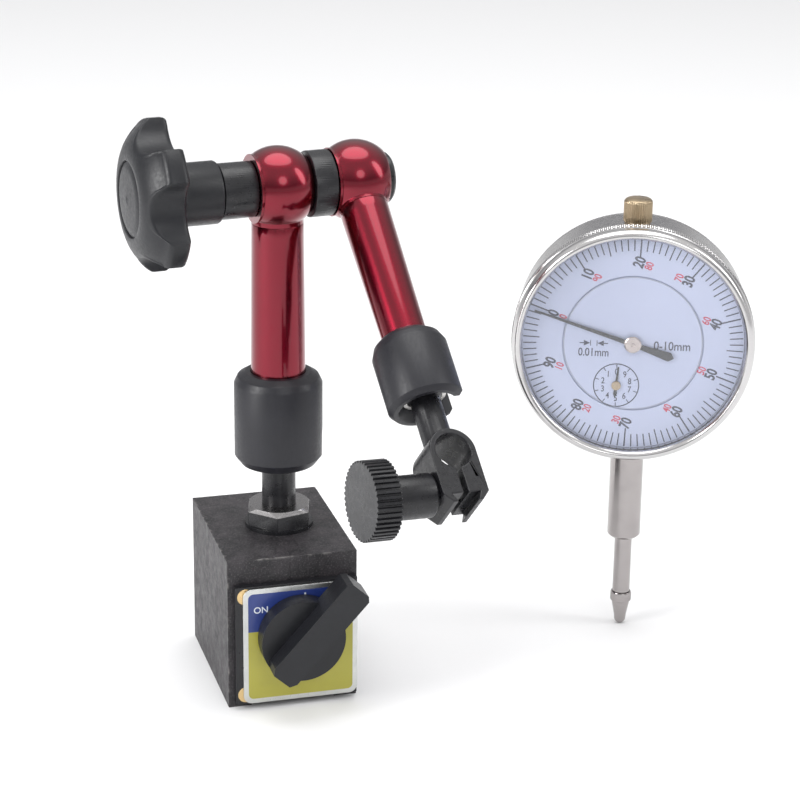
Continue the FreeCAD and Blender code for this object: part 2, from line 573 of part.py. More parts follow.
def indicator_case():
    """The round case with its inner web, back cover, stem and top cap."""
    blank = turned("case_blank", [
        ("case_inner", "case_back"), ("case_radius", "case_back"), ("case_radius", "case_front"),
        ("rim_radius", "case_front"), ("rim_radius", "rim_front"), ("case_inner", "rim_front"),
        ("case_inner", "web_front"), (0, "web_front"), (0, "web_back"),
        ("case_inner", "web_back")])
    down = Rotation(Vector(1, 0, 0), 90)
    stem_hole = cylinder("case_stem_hole", "stem_radius", 6, (0, -23, 0), down)
    cap_hole = cylinder("case_cap_hole", 3, 6, (0, 29, 0), down)
    holes = [cylinder(f"web_hole_{n}", "arbor_radius + fit_gap", 3, (*place, 3.5))
             for n, place in enumerate(ARBORS)]
    taps = [cylinder(f"case_tap_{n}", 0.8, 5, (*polar(26.3, 45 + 90 * n), "case_back"))
            for n in range(4)]
    node("case", cut("case", blank, [stem_hole, cap_hole] + holes + taps), DIAL)

    plate = turned("back_plate", [
        (0, "case_back - 1.5"), ("case_radius - 0.5", "case_back - 1.5"),
        ("case_radius", "case_back - 1"), ("case_radius", "case_back"),
        ("case_inner - 0.1", "case_back"), ("case_inner - 0.1", "case_back + 0.6"),
        (0, "case_back + 0.6")])
    lug = block("back_lug", 5, 13, 11, (-2.5, -6.5, "case_back - 12"))
    eye = cylinder("lug_hole", 3.25, 5, (-2.5, 0, "case_back - 7"), ALONG_X)

    def screw(name, n):
        corners = [(0, "case_back - 1.5"), (1.2, "case_back - 1.5"), (0.8, "case_back - 0.9"),
                   (0.8, "case_back + 4.5"), (0, "case_back + 4.5")]
        return turned(name, corners, (*polar(26.3, 45 + 90 * n), 0))

    sinks = [screw(f"back_sink_{n}", n) for n in range(4)]
    node("back_cover", cut("back_cover", joined("back_blank", [plate, lug]), [eye] + sinks), DIAL)
    node("back_screws", group("back_screws", [screw(f"back_screw_{n}", n) for n in range(4)]),
         DIAL)
    node("stem", turned("stem", [
        ("spindle_radius + fit_gap", "stem_end"), (3.3, "stem_end"),
        ("stem_radius", "stem_end + 0.7"), ("stem_radius", 45.7), (4.4, 45.9), (4.4, 46.9),
        ("stem_radius", 47), ("stem_radius", 51), ("spindle_radius + fit_gap", 51)]), INDICATOR)
    node("top_cap", turned("top_cap", [
        ("spindle_radius + 0.2", 99.4), (3, 99.4), (3, 102.4), (3.35, 102.4), (3.35, 107.4),
        (2.9, 108), (0, 108), (0, 107), ("spindle_radius + 0.2", 107)]), INDICATOR)


def dial_front():
    """The knurled bezel with its crystal and scale ring, and the fixed inner dial."""
    front = "bezel_front"
    node("bezel", turned("bezel", [
        ("rim_radius + 0.1", "case_front + 0.1"), ("bezel_radius", "case_front + 0.1"),
        ("bezel_radius", 7.3), ("bezel_radius - 0.45", 7.6), ("bezel_radius - 0.25", 9.3),
        ("bezel_radius - 0.8", front), ("bezel_radius - 1.5", front), ("ring_outer", 9.6),
        ("ring_outer", 9.25), ("crystal_radius + fit_gap", 9.25),
        ("crystal_radius + fit_gap", "crystal_back - fit_gap"),
        ("ring_outer + fit_gap", "crystal_back - fit_gap"),
        ("ring_outer + fit_gap", "rim_front + 0.15"),
        ("rim_radius + 0.1", "rim_front + 0.15")]), DIAL)
    node("crystal", cylinder("crystal", "crystal_radius", 1, (0, 0, "crystal_back")), DIAL)
    node("scale_ring", turned("scale_ring", [
        ("ring_inner", "face_back"), ("ring_outer", "face_back"),
        ("ring_outer", "face_front"), ("ring_inner", "face_front")]), DIAL)
    disc = turned("disc_blank", [
        (0, "web_front"), (12, "web_front"), (12, "face_back"), ("ring_inner - 0.3", "face_back"),
        ("ring_inner - 0.3", "face_front"), (0, "face_front")])
    holes = [cylinder(f"disc_hole_{n}", "arbor_radius + 0.25", 3, (*place, 5))
             for n, place in enumerate(ARBORS[:2])]
    node("dial_disc", cut("dial_disc", disc, holes), DIAL)


# The counting wheel's arbor is one pinion radius beside the rack and one gear centre
# distance from the middle of the dial. The take-up wheel is opposite.
CENTRES = size("wheel_radius + centre_radius")
COUNT_X = -size("rack_line + pinion_radius")
COUNT_Y = -math.sqrt(CENTRES ** 2 - COUNT_X ** 2)
COUNT_ANGLE = math.degrees(math.atan2(COUNT_Y, COUNT_X))
TOOTH = 0.12
ROOT = 0.26
ARBORS = [(0, 0), (COUNT_X, COUNT_Y), (-COUNT_X, -COUNT_Y)]


def movement():
    """The gear train: a rack turns the 16-tooth pinion once in 10 mm, and its 100-tooth
    wheel turns the 10-tooth centre pinion ten times as fast."""
    def arbor(low, high, place):
        return Part.makeCylinder(size("arbor_radius"), high - low, Vector(*place, low))

    def moved(shape, place):
        shape.translate(Vector(*place, 0))
        return shape

    wheel, centre, rack_pinion = size("wheel_radius"), size("centre_radius"), size("pinion_radius")
    facing = COUNT_ANGLE + 180
    count_wheel = moved(toothed(100, wheel + TOOTH, wheel - ROOT, 0.58, 0.4, 3.7,
                                facing + 1.8), ARBORS[1])
    pinion = moved(toothed(16, rack_pinion + TOOTH, rack_pinion - ROOT, 0.58, 2.8, -1.4), ARBORS[1])
    node("count_wheel", made("count_wheel", count_wheel.fuse(
        [pinion, arbor(-1.4, 7.2, ARBORS[1])]).removeSplitter()), DIAL)
    centre_teeth = toothed(10, centre + TOOTH, centre - ROOT, 0.58, 1, 3.2, COUNT_ANGLE)
    node("centre_pinion", made("centre_pinion", centre_teeth.fuse(
        arbor(2.4, 7.8, ARBORS[0])).removeSplitter()), DIAL)
    take_up = moved(toothed(100, wheel + TOOTH, wheel - ROOT, 0.58, 0.4, 3.7,
                            COUNT_ANGLE + 1.8), ARBORS[2])
    node("take_up_wheel", made("take_up_wheel", take_up.fuse(
        arbor(2.4, 5.3, ARBORS[2])).removeSplitter()), DIAL)

    spring = document.addObject("Part::Spiral", "hairspring_path")
    spring.Growth = 0.75
    spring.Rotations = 5
    spring.Radius = 1.1
    document.recompute()
    ribbon = Part.makePolygon([Vector(1.05, 0, -0.15), Vector(1.2, 0, -0.15),
                               Vector(1.2, 0, 0.15), Vector(1.05, 0, 0.15),
                               Vector(1.05, 0, -0.15)])
    hairspring = Part.Wire(spring.Shape.Edges).makePipeShell([ribbon], True, True)
    node("hairspring", made("hairspring", hairspring),
         DIAL.multiply(Placement(Vector(*ARBORS[2], 3.3), UPRIGHT)))

    pillars = [cylinder(f"pillar_{n}", 1.2, 1.65, (*polar(16, COUNT_ANGLE + angle), 2.95))
               for n, angle in enumerate((75, 105, 255, 285))]
    node("plate_pillars", group("plate_pillars", pillars), DIAL)
    bridge = cylinder("bridge_blank", 18, 0.6, (0, 0, 2.35))
    holes = [cylinder(f"bridge_hole_{n}", "arbor_radius + fit_gap", 1, (*place, 2.2))
             for n, place in enumerate(ARBORS)]
    node("bridge_plate", cut("bridge_plate", bridge, holes), DIAL)


def needle(name, length, tail, half, tip_half, tail_half, low, thick, hub, angle):
    """A pointer with a slim tip and a broader tail that ends in a point."""
    return padded(name, [
        (length, -tip_half), (length, tip_half), (hub, half), (-hub, half),
        (-tail + 1.1, tail_half), (-tail, 0), (-tail + 1.1, -tail_half), (-hub, -half),
        (hub, -half)], thick, (0, 0, low), Rotation(Vector(0, 0, 1), angle))


def pointers():
    """The main pointer on its hub, and the small turns pointer."""
    pointer = needle("pointer_blank", 24.4, 10.2, 0.55, 0.2, 1.1, 7.45, 0.2, 1.5, 162)
    boss = cylinder("pointer_boss", 1.8, 0.2, (0, 0, 7.45))
    hole = cylinder("pointer_hole", 1.2, 1, (0, 0, 7))
    node("main_pointer", cut("main_pointer", joined("pointer_joined", [pointer, boss]), [hole]),
         DIAL)
    hub = turned("hub_blank", [
        (0, 7.1), (1.2, 7.1), (1.2, 7.65), (2, 7.65), (2, 7.8), (1.7, 8), (0.5, 8.05),
        (0.3, 7.9), (0, 7.9)])
    arbor_hole = cylinder("hub_arbor_hole", "arbor_radius", 0.7, (0, 0, 7.1))
    node("pointer_hub", cut("pointer_hub", hub, [arbor_hole]), DIAL)
    small = needle("small_blank", 4.6, 3.2, 0.32, 0.18, 0.45, 7, 0.12, 0.8, 85)
    button = cylinder("small_button", 1.1, 0.25, (0, 0, 7))
    small_hole = cylinder("small_hole", "arbor_radius", 1, (0, 0, 6.5))
    node("small_pointer", cut("small_pointer", joined("small_joined", [small, button]),
                              [small_hole]),
         DIAL.multiply(Placement(Vector(*ARBORS[1], 0), UPRIGHT)))


def spindle():
    """The sliding spindle with its rack, its contact point and its guide and spring."""
    radius = size("spindle_radius")
    pitch = size("rack_pitch")
    line = size("rack_line")
    mesh_z = size("dial_z") + COUNT_Y
    blank = turned("spindle_blank", [
        (0, "spindle_end"), ("spindle_radius - 0.2", "spindle_end"),
        ("spindle_radius", "spindle_end + 0.2"), ("spindle_radius", "spindle_top - 0.3"),
        ("spindle_radius - 0.3", "spindle_top"), (0, "spindle_top")])
    grooves = []
    for n in range(-18, 3):
        z = mesh_z + n * pitch
        corners = [Vector(-radius - 0.2, -3, z - 0.27), Vector(-line + 0.3, -3, z - 0.1),
                   Vector(-line + 0.3, -3, z + 0.1), Vector(-radius - 0.2, -3, z + 0.27)]
        face = Part.Face(Part.makePolygon(corners + corners[:1]))
        grooves.append(face.extrude(Vector(0, 6, 0)))
    rack = made("rack_gaps", Part.makeCompound(grooves))
    hole = cylinder("contact_hole", 1.2, 4, (0, 0, "spindle_end"))
    pin_hole = cylinder("guide_pin_hole", 0.6, 4, (0, 0, 70), ALONG_Y)
    node("spindle", cut("spindle", blank, [rack, hole, pin_hole]), INDICATOR)
    tip = turned("contact_blank", [
        (0, 1.4), (1.4, 1.4), (1.45, 2.2), (2.1, 5.4), (2.1, 6.1), (2.55, 6.3), (2.55, 8.4),
        (2.35, "spindle_end"), (1.2, "spindle_end"), (1.2, "spindle_end + 3.9"),
        (0, "spindle_end + 3.9")])
    nose = ball("contact_ball", 1.4, (0, 0, 1.4))
    node("contact_point", joined("contact_point", [tip, nose]), INDICATOR)

    pin = cylinder("guide_pin_shank", 0.6, 5.6, (0, 0, 70), ALONG_Y)
    arm = cylinder("guide_pin_arm", 0.4, 3.6, (0, 3.2, 70), ALONG_X)
    node("guide_pin", joined("guide_pin", [pin, arm]), INDICATOR)
    bar = block("guide_blank", 5, 0.8, 48.6, (-2.5, 4.2, 50.4))
    slot = block("guide_slot", 1.4, 0.8, 14, (-0.7, 4.2, 68.5))
    hook = block("spring_hook", 1.2, 2.2, 0.6, (2, 2.4, 53.2))
    web = block("hook_web", 0.6, 1.8, 0.6, (1.8, 2.6, 53.2))
    node("guide_bar", cut("guide_bar", joined("guide_joined", [bar, hook, web]), [slot]), INDICATOR)
    node("return_spring", made("return_spring", coil(0.8, 0.15, 0.62, 15.3)),
         INDICATOR.multiply(Placement(Vector(3, 3.2, 54.1), UPRIGHT)))


magnetic_base()
front_of_base()
switch()
post()
lower_arm()
clamping_bolt()
star_knob()
upper_arm()
indicator_clamp()
indicator_case()
dial_front()
movement()
pointers()
spindle()
document.recompute()

for item in document.Objects:
    state = set(item.State) & {"Invalid", "Error"}
    if state:
        print("not built:", item.Name, item.Label, item.State)
for label, piece in nodes.items():
    if piece.Shape.isNull() or not piece.Shape.isValid() or not piece.Shape.Solids:
        print("bad shape:", label)

os.makedirs("parts", exist_ok=True)
for label, piece in nodes.items():
    piece.Shape.exportStep(f"parts/{label}.step")
print(len(nodes), "sub-parts written")
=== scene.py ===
import json
import math

import bmesh
import bpy
from mathutils import Matrix, Vector


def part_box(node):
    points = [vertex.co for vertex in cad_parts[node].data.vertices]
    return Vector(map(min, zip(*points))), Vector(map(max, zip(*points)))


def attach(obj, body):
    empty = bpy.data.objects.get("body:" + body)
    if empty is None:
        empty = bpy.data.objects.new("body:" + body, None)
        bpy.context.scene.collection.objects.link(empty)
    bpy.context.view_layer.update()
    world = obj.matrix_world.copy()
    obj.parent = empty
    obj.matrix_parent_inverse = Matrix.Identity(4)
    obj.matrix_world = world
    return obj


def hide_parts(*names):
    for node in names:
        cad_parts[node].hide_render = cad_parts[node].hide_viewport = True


# A dial indicator beside its small magnetic base stand. Lengths are in millimetres and
# turned into metres by MM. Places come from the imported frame's boxes and joints.

MM = 0.001
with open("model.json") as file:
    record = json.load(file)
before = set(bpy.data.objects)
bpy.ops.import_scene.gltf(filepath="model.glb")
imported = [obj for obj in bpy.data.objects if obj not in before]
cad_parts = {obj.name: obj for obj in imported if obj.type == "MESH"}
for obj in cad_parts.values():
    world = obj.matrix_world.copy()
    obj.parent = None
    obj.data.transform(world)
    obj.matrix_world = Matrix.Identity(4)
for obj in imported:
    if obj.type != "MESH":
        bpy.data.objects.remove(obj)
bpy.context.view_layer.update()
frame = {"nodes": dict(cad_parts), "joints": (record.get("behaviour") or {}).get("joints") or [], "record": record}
joints = {joint["name"]: joint for joint in frame["joints"]}
body_of_node = {name: body for body, names in frame["record"]["behaviour"]["bodies"].items()
                for name in names}
slot_of_node = {part["node"]: part["material_slot"] for part in frame["record"]["subparts"]}


# ------------------------------------------------------------------------- frames

def local_frame(origin, x_axis, z_axis):
    """A frame with the given origin, X and Z axes. Y completes a right-handed set."""
    x, z = Vector(x_axis).normalized(), Vector(z_axis).normalized()
    columns = Matrix((x, z.cross(x), z)).transposed().to_4x4()
    return Matrix.Translation(Vector(origin)) @ columns


# The dial's frame has its origin on the main arbor, in the plane the spindle runs in, and Z
# out of the dial. The spindle's frame has its origin on the floor under the contact's tip.
FACING = Vector(joints["main_pointer_turn"]["axis"])
ARBOR_SPOT = 3.9
DIAL_CENTRE = Vector(joints["main_pointer_turn"]["pos_m"]) - FACING * ARBOR_SPOT * MM
RIGHT = Vector((0, 0, 1)).cross(FACING)
DIAL = local_frame(DIAL_CENTRE, RIGHT, FACING)
SMALL_CENTRE = DIAL.inverted() @ Vector(joints["count_wheel_turn"]["pos_m"]) / MM
SPINDLE = Matrix.Translation(Vector((DIAL_CENTRE.x, DIAL_CENTRE.y, 0)))
FACE = 6.9
INK_LOW = FACE - 0.01
INK_HIGH = FACE + 0.03


# ---------------------------------------------------------------------- materials

class Finish:
    """A node material, grown step by step."""

    def __init__(self, name, colour, roughness, metallic=0.0, coat=0.0, coat_roughness=0.1,
                 specular=0.5):
        self.material = bpy.data.materials.new(name)
        self.material.use_nodes = True
        self.tree = self.material.node_tree
        self.shader = self.tree.nodes["Principled BSDF"]
        self.last_normal = None
        self.set("Base Color", (*colour, 1))
        self.set("Roughness", roughness)
        self.set("Metallic", metallic)
        self.set("Coat Weight", coat)
        self.set("Coat Roughness", coat_roughness)
        self.set("Specular IOR Level", specular)

    def set(self, socket, value):
        """Sets one socket of the shader."""
        self.shader.inputs[socket].default_value = value

    def add(self, kind, **settings):
        """A new node, with its settings or sockets set by name."""
        made = self.tree.nodes.new(kind)
        for key, value in settings.items():
            if hasattr(made, key):
                setattr(made, key, value)
            else:
                made.inputs[key.replace("_", " ").title()].default_value = value
        return made

    def link(self, output, target):
        self.tree.links.new(output, target)

    def spots(self, stretch=(1, 1, 1)):
        """Places on the object at rest, in metres, stretched."""
        mapping = self.add("ShaderNodeMapping")
        mapping.inputs["Scale"].default_value = stretch
        self.link(self.add("ShaderNodeTexCoord").outputs["Object"], mapping.inputs["Vector"])
        return mapping.outputs["Vector"]

    def noise(self, scale, detail=3.0, stretch=(1, 1, 1)):
        made = self.add("ShaderNodeTexNoise", scale=scale, detail=detail)
        self.link(self.spots(stretch), made.inputs["Vector"])
        return made.outputs["Fac"]

    def cells(self, scale):
        made = self.add("ShaderNodeTexVoronoi", scale=scale)
        self.link(self.spots(), made.inputs["Vector"])
        return made.outputs["Distance"]

    def axes(self):
        """Places on the object at rest, in metres, axis by axis."""
        made = self.add("ShaderNodeSeparateXYZ")
        self.link(self.add("ShaderNodeTexCoord").outputs["Object"], made.inputs["Vector"])
        return made.outputs

    def combine(self, operation, first, second=None):
        """A math node over one or two sources, or over a source and a number."""
        made = self.add("ShaderNodeMath", operation=operation)
        for source, socket in zip((first, second), made.inputs):
            if isinstance(source, bpy.types.NodeSocket):
                self.link(source, socket)
            elif source is not None:
                socket.default_value = source
        return made.outputs[0]

    def ramp(self, source, low, high, first=0.0, last=1.0):
        """The source between low and high, as a number between first and last."""
        made = self.add("ShaderNodeMapRange")
        for key, value in (("From Min", low), ("From Max", high), ("To Min", first),
                           ("To Max", last)):
            made.inputs[key].default_value = value
        self.link(source, made.inputs["Value"])
        return made.outputs["Result"]

    def paint(self, mask, colour):
        """Lays another colour over the one so far, where the mask is 1."""
        base = self.shader.inputs["Base Color"]
        made = self.add("ShaderNodeMix")
        made.data_type = "RGBA"
        if base.is_linked:
            self.link(base.links[0].from_socket, made.inputs[6])
        else:
            made.inputs[6].default_value = base.default_value
        made.inputs[7].default_value = (*colour, 1)
        self.link(mask, made.inputs[0])
        self.link(made.outputs[2], base)
        return self

    def roughen(self, source, low, high, first, last):
        self.link(self.ramp(source, low, high, first, last), self.shader.inputs["Roughness"])
        return self

    def bump(self, source, height, strength=1.0):
        """Raises the surface by height millimetres where source is 1."""
        made = self.add("ShaderNodeBump")
        made.inputs["Strength"].default_value = strength
        made.inputs["Distance"].default_value = height * MM
        self.link(source, made.inputs["Height"])
        if self.last_normal:
            self.link(self.last_normal, made.inputs["Normal"])
        self.last_normal = made.outputs["Normal"]
        self.link(self.last_normal, self.shader.inputs["Normal"])
        return self


def scaled(colour, share):
    """A colour made lighter or darker."""
    return tuple(channel * share for channel in colour)


def crackle_paint():
    """Black crackle paint; worn_edges rubs it thin on the block's edges."""
    black, dusty, grain_tips = (0.014, 0.013, 0.015), (0.045, 0.039, 0.044), (0.13, 0.12, 0.126)
    made = Finish("crackle_paint", black, 0.5)
    clumps = made.cells(1400)
    grain = made.noise(2600, 4)
    made.paint(made.ramp(made.noise(240, 5), 0.4, 0.64, 0, 0.6), dusty)
    made.paint(made.ramp(grain, 0.52, 0.7, 0, 0.5), grain_tips)
    made.roughen(made.noise(500, 3), 0.3, 0.7, 0.42, 0.62)
    made.bump(clumps, 0.07, 0.8).bump(grain, 0.07, 0.7)
    return made


def worn_edges(made, low, high):
    """Paints the edges of a block between two corners a worn pale grey, in patches."""
    reach, bare = 0.5 * MM, 0.05 * MM
    spots = made.axes()
    near = []
    for axis, start, end in zip("XYZ", low, high):
        middle, half = (start + end) / 2, (end - start) / 2
        away = made.combine("ABSOLUTE", made.combine("SUBTRACT", spots[axis], middle))
        near.append(made.ramp(away, half - reach, half - bare))
    edges = [made.combine("MULTIPLY", near[one], near[other])
             for one, other in ((0, 1), (0, 2), (1, 2))]
    any_edge = made.combine("MAXIMUM", made.combine("MAXIMUM", edges[0], edges[1]), edges[2])
    patchy = made.combine("MULTIPLY", any_edge, made.ramp(made.noise(420, 5), 0.5, 0.7))
    worn_grey = (0.20, 0.19, 0.185)
    return made.paint(patchy, worn_grey)


def bright_crown(made, top, depth):
    """Paints the part of a nut that is less than depth below its top a bare steel grey; this lighter grey is
    partly a painted highlight, where the top catches the light from above.
    """
    fade, bare_steel_highlight = 0.15, (0.34, 0.33, 0.33)
    # Partly painted highlight: the top band gets a light bare steel grey that stands for the bright top the light
    # from above gives it.
    mask = made.ramp(made.axes()["Z"], top - depth * MM, top - (depth - fade) * MM)
    made.paint(mask, bare_steel_highlight)
    made.link(mask, made.shader.inputs["Metallic"])
    return made


def smooth_black(name, roughness):
    """Blackened steel or plate with a faint unevenness."""
    colour = (0.011, 0.011, 0.013)
    made = Finish(name, colour, roughness, specular=0.45)
    made.paint(made.ramp(made.noise(300, 3), 0.4, 0.7, 0, 0.5), scaled(colour, 1.7))
    made.roughen(made.noise(900, 3), 0.3, 0.7, roughness - 0.06, roughness + 0.08)
    made.bump(made.noise(3500, 2), 0.006, 0.5)
    return made


def moulded(name, colour, roughness, pits=2200, height=0.04):
    """Moulded plastic with a fine leathery grain."""
    made = Finish(name, colour, roughness, specular=0.45)
    made.paint(made.ramp(made.noise(120, 3), 0.4, 0.7, 0, 0.5), scaled(colour, 1.5))
    made.roughen(made.noise(1500, 2), 0.3, 0.7, roughness - 0.05, roughness + 0.08)
    made.bump(made.noise(pits, 3), height, 0.5)
    return made


def anodised(name, colour):
    """Red anodised aluminium under a clear sealed skin, with fine turning lines."""
    made = Finish(name, colour, 0.24, metallic=1.0, coat=0.65, coat_roughness=0.06)
    made.paint(made.ramp(made.noise(90, 3), 0.4, 0.65, 0, 0.2), scaled(colour, 0.75))
    made.roughen(made.noise(350, 3, (1, 1, 14)), 0.3, 0.7, 0.22, 0.27)
    made.bump(made.noise(300, 2, (1, 1, 25)), 0.0006, 0.2)
    return made


def metal(name, colour, roughness, lines=(1, 1, 1), marks=0.25, height=0.002):
    """Bare metal with fine tool marks, which a larger number in lines makes shorter."""
    made = Finish(name, colour, roughness, metallic=1.0)
    made.paint(made.ramp(made.noise(260, 4), 0.45, 0.75, 0, marks), scaled(colour, 0.6))
    made.roughen(made.noise(700, 3, lines), 0.3, 0.7, roughness * 0.75, roughness * 1.35)
    made.bump(made.noise(1800, 2, lines), height, 0.5)
    return made


def printed(name, colour, roughness=0.4, spread=0.15):
    """Ink or enamel: one colour with a faint unevenness."""
    made = Finish(name, colour, roughness, coat=0.3, coat_roughness=0.15)
    made.paint(made.ramp(made.noise(140, 3), 0.4, 0.7, 0, spread), scaled(colour, 0.78))
    made.bump(made.noise(2600, 2), 0.003, 0.4)
    return made


def clear_crystal():
    """The dial's window, nearly all clear."""
    made = Finish("clear_crystal", (0.92, 0.95, 1.0), 0.03, specular=0.6)
    made.set("Alpha", 0.07)
    made.roughen(made.noise(60, 2), 0.3, 0.7, 0.02, 0.05)
    return made


block_low, block_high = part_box("left_pole")[0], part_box("right_pole")[1]
FINISHES = {
    "crackle_paint": worn_edges(crackle_paint(), block_low, block_high),
    "painted_brass": worn_edges(crackle_paint(), block_low, block_high),
    "spacer_brass": metal("spacer_brass", (0.62, 0.45, 0.2), 0.35),
    "black_plate": smooth_black("black_plate", 0.32),
    "label_print": metal("label_silver", (0.62, 0.63, 0.62), 0.34, (14, 1, 1)),
    "screw_brass": metal("screw_brass", (0.72, 0.52, 0.26), 0.28),
    "magnet_steel": metal("magnet_steel", (0.25, 0.25, 0.26), 0.5),
    "rotor_metal": metal("rotor_metal", (0.7, 0.7, 0.7), 0.3),
    "black_plastic": moulded("black_plastic", (0.0075, 0.008, 0.0105), 0.38),
    "pin_steel": metal("pin_steel", (0.6, 0.6, 0.6), 0.25),
    "black_steel": smooth_black("black_steel", 0.3),
    "cup_zinc": metal("cup_zinc", (0.74, 0.73, 0.7), 0.3, height=0.01),
    "sleeve_black": moulded("sleeve_black", (0.012, 0.012, 0.016), 0.4, 1600, 0.01),
    "red_anodised": anodised("red_anodised", (0.20, 0.006, 0.019)),
    "spring_steel": metal("spring_steel", (0.5, 0.5, 0.52), 0.3),
    "hard_steel": metal("hard_steel", (0.55, 0.55, 0.56), 0.28),
    "brass_insert": metal("brass_insert", (0.7, 0.52, 0.24), 0.3),
    "case_metal": metal("case_metal", (0.52, 0.51, 0.51), 0.24, (1, 1, 8), marks=0.1,
                        height=0.0008),
    "bezel_metal": metal("bezel_metal", (0.60, 0.59, 0.59), 0.16, (4, 4, 4), marks=0.15),
    "crystal_clear": clear_crystal(),
    "dial_white": printed("dial_white", (0.48, 0.525, 0.70), 0.42, 0.08),
    "pointer_black": printed("pointer_black", (0.004, 0.004, 0.006), 0.3),
    "hub_silver": metal("hub_silver", (0.50, 0.44, 0.42), 0.2),
    "cap_brass": metal("cap_brass", (0.42, 0.33, 0.22), 0.34),
    "spindle_steel": metal("spindle_steel", (0.40, 0.375, 0.37), 0.2, (6, 6, 1)),
    "gear_brass": metal("gear_brass", (0.72, 0.55, 0.25), 0.28),
}
INK_DARK = printed("ink_dark", (0.02, 0.022, 0.05)).material
INK_RED = printed("ink_red", (0.52, 0.02, 0.06)).material
INK_GREY = printed("ink_grey", (0.30, 0.32, 0.40)).material
INK_WHITE = printed("ink_white", (0.72, 0.76, 0.82)).material
PRINT_BLUE = printed("print_blue", (0.020, 0.042, 0.21), 0.34, 0.5).material
PRINT_YELLOW = printed("print_yellow", (0.40, 0.37, 0.045), 0.34, 0.45).material
# The lock nut's top band is bare steel, and partly a painted highlight of its lit top.
NUT = bright_crown(smooth_black("nut_steel", 0.26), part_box("lock_nut")[1].z, 1.2).material


def finish_of(node):
    """The material of a CAD node: its slot's, but the lock nut has its own."""
    return NUT if node == "lock_nut" else FINISHES[slot_of_node[node]].material


def give(piece, material):
    """Makes this the piece's only material."""
    piece.data.materials.clear()
    piece.data.materials.append(material)


for name, node in frame["nodes"].items():
    give(node, finish_of(name))


# -------------------------------------------------------------------- mesh helpers

def made_piece(name, shape, matrix=Matrix.Identity(4), sharp=35):
    """A mesh object from a bmesh drawn in millimetres in the frame that matrix gives."""
    bmesh.ops.recalc_face_normals(shape, faces=shape.faces)
    shape.transform(matrix @ Matrix.Scale(MM, 4))
    mesh = bpy.data.meshes.new(name)
    shape.to_mesh(mesh)
    shape.free()
    mesh.shade_smooth()
    mesh.set_sharp_from_angle(angle=math.radians(sharp))
    piece = bpy.data.objects.new(name, mesh)
    bpy.context.scene.collection.objects.link(piece)
    return piece


def stands_for(piece, node):
    """The piece takes the finish, the body and the place of this CAD node."""
    give(piece, finish_of(node))
    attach(piece, body_of_node[node])
    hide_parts(node)


def on_body(piece, body, material):
    """An added piece takes this finish and rides this body."""
    give(piece, material)
    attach(piece, body)


def softened(node, width, flat):
    """A finer copy of a CAD node with every sharp edge rounded by width millimetres. flat
    first makes one face of all the triangles on each flat side."""
    sharp = 30
    shape = bmesh.new()
    shape.from_mesh(frame["nodes"][node].data)
    bmesh.ops.remove_doubles(shape, verts=shape.verts, dist=1e-7)
    if flat:
        bmesh.ops.dissolve_limit(shape, angle_limit=math.radians(0.5), verts=shape.verts,
                                 edges=shape.edges)
    shape.transform(Matrix.Scale(1 / MM, 4))
    piece = made_piece(node + "_finished", shape, sharp=sharp)
    bevel = piece.modifiers.new("rounded", "BEVEL")
    bevel.width = width * MM
    bevel.segments = 3
    bevel.limit_method = "ANGLE"
    bevel.angle_limit = math.radians(sharp)
    bevel.harden_normals = True
    bevel.use_clamp_overlap = True
    stands_for(piece, node)


def lathe(name, profile, count, matrix, ripple=None):
    """A solid turned about the frame's Z from corners of radius and height. ripple changes
    a radius by its row and its angle step."""
    shape = bmesh.new()
    rows = []
    for row, (radius, height) in enumerate(profile):
        if radius == 0:
            rows.append([shape.verts.new((0, 0, height))] * count)
            continue
        ring = []
        for step in range(count):
            here = radius + (ripple(row, step) if ripple else 0)
            angle = math.tau * step / count
            ring.append(shape.verts.new((here * math.cos(angle), here * math.sin(angle), height)))
        rows.append(ring)
    closed = profile[0][0] != 0 and profile[-1][0] != 0
    pairs = list(zip(rows, rows[1:])) + ([(rows[-1], rows[0])] if closed else [])
    for low, high in pairs:
        for step in range(count):
            after = (step + 1) % count
            corners = []
            for corner in (low[step], low[after], high[after], high[step]):
                if corner not in corners:
                    corners.append(corner)
            shape.faces.new(corners)
    return made_piece(name, shape, matrix)


def rings_mesh(name, rings, matrix):
    """A closed skin over rings of spots in millimetres, from one end's middle to the other's."""
    shape = bmesh.new()
    count = len(rings[0])
    rows = [[shape.verts.new(spot) for spot in ring] for ring in rings]
    for low, high in zip(rows, rows[1:]):
        for step in range(count):
            after = (step + 1) % count
            shape.faces.new((low[step], low[after], high[after], high[step]))
    shape.faces.new(rows[0])
    shape.faces.new(rows[-1])
    return made_piece(name, shape, matrix)


def prism(shape, outline, low, high):
    """Adds a flat-ended solid over an outline of X and Y corners."""
    bottom = [shape.verts.new((x, y, low)) for x, y in outline]
    top = [shape.verts.new((x, y, high)) for x, y in outline]
    shape.faces.new(bottom[::-1])
    shape.faces.new(top)
    for n in range(len(outline)):
        after = (n + 1) % len(outline)
        shape.faces.new((bottom[n], bottom[after], top[after], top[n]))


def turned_about(x, y, angle):
    """A spot turned anticlockwise about the origin."""
    return x * math.cos(angle) - y * math.sin(angle), x * math.sin(angle) + y * math.cos(angle)


def bar(shape, inner, outer, width, angle, centre=(0, 0)):
    """Adds one radial line of ink from inner to outer, angle clockwise from the top in degrees."""
    turn = math.radians(-angle)
    corners = ((-width / 2, inner), (width / 2, inner), (width / 2, outer), (-width / 2, outer))
    outline = [turned_about(x, y, turn) for x, y in corners]
    prism(shape, [(x + centre[0], y + centre[1]) for x, y in outline], INK_LOW, INK_HIGH)


